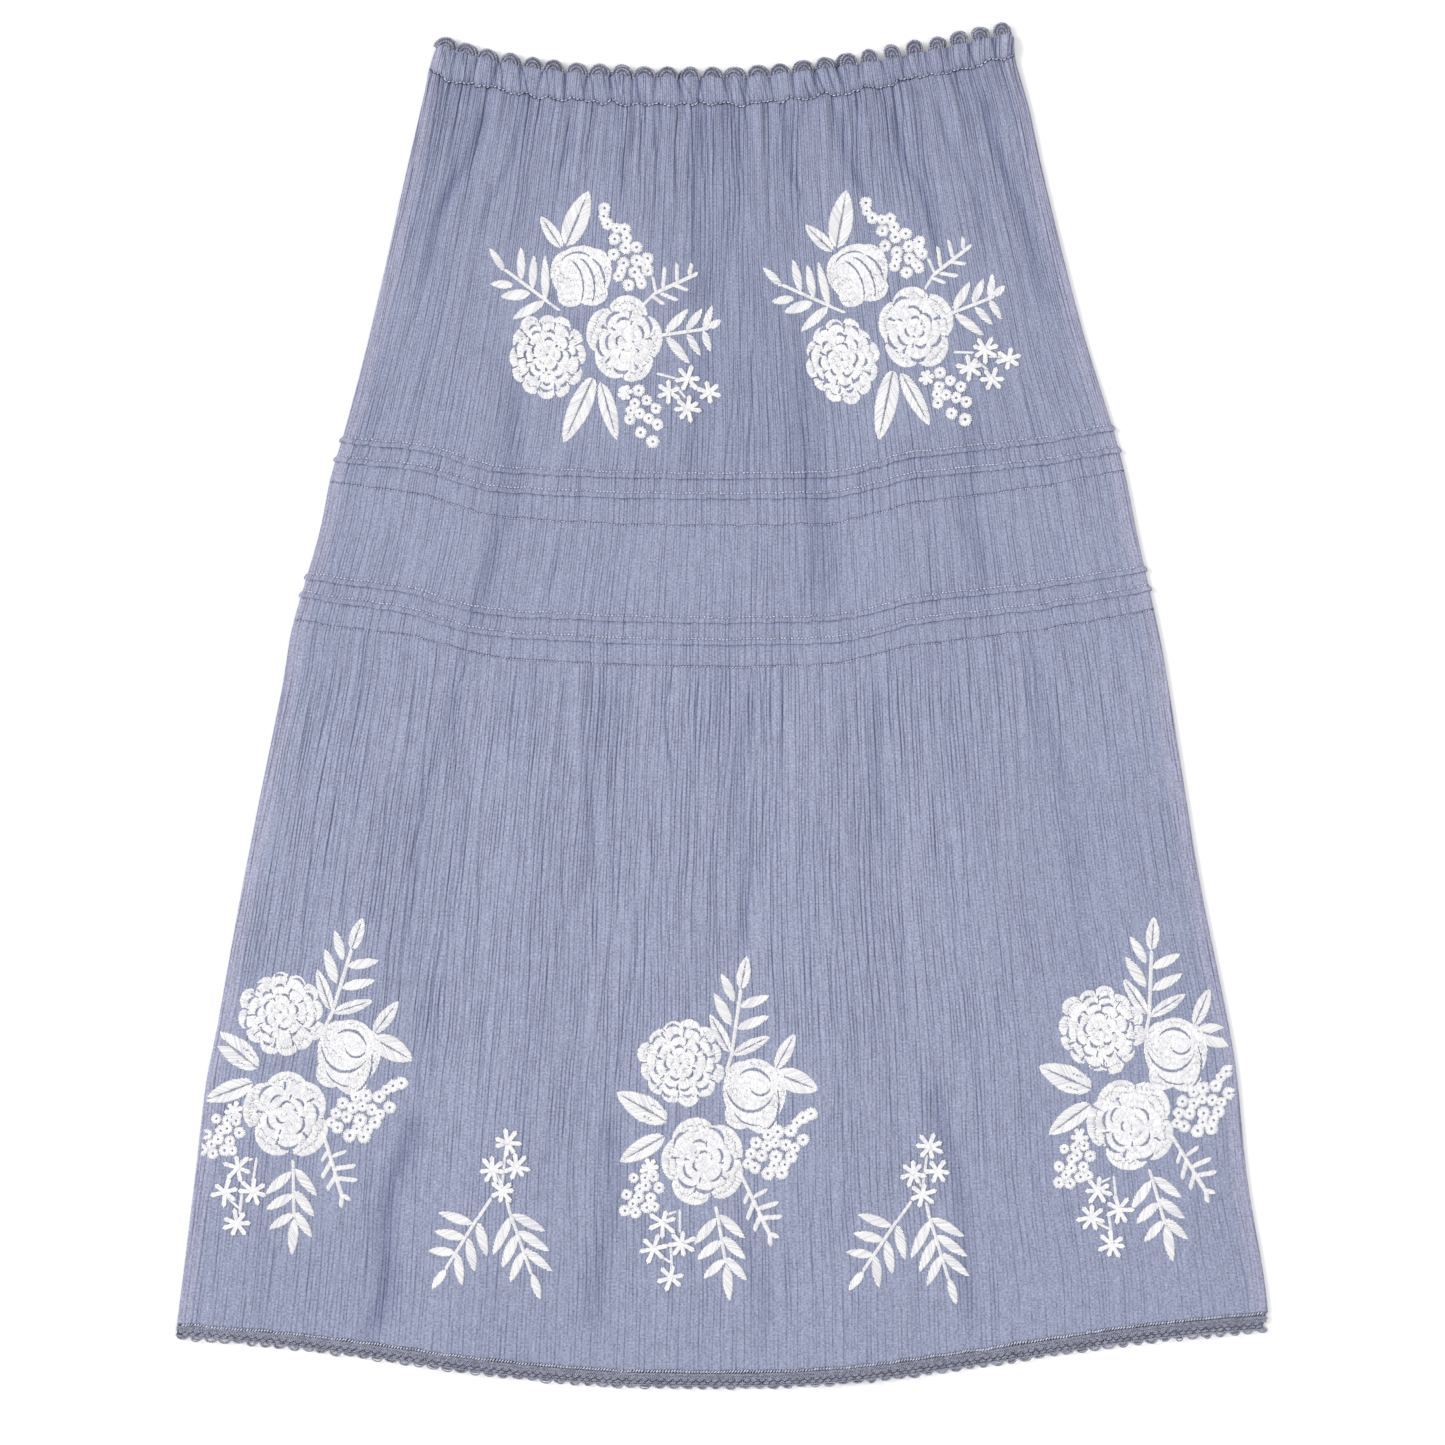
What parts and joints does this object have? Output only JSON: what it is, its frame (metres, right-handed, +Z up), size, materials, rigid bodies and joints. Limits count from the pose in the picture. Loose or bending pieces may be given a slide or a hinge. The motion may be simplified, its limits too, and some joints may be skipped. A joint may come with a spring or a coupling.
{
  "type": "embroidered maxi skirt",
  "caption": "Long A-line skirt of crinkled cotton gauze, laid flat, with a gathered elastic waist, pin tucks, white floral embroidery and crochet edgings.",
  "frame": {"origin": "under the middle of the laid skirt's outline, on the surface that it lies on", "axes": "+X towards the skirt's right side in the picture, +Y from the hem towards the waist, +Z up out of the front"},
  "size_m": [0.7331, 0.9191, 0.0078],
  "materials": {
    "gauze": "matt crinkled cotton gauze, grey periwinkle",
    "casing_gauze": "matt crinkled cotton gauze, tightly gathered",
    "crochet": "matt crocheted cotton thread, grey blue",
    "lace": "matt cotton crochet lace, grey blue"
  },
  "bodies": {
    "root": {"waist_edging_front": "crochet", "waist_edging_back": "crochet", "casing_front": "casing_gauze", "casing_back": "casing_gauze", "upper_front": "gauze", "upper_back": "gauze", "middle_front": "gauze", "middle_back": "gauze", "lower_front": "gauze", "lower_back": "gauze", "hem_lace_front": "lace", "hem_lace_back": "lace"}
  },
  "joints": []
}
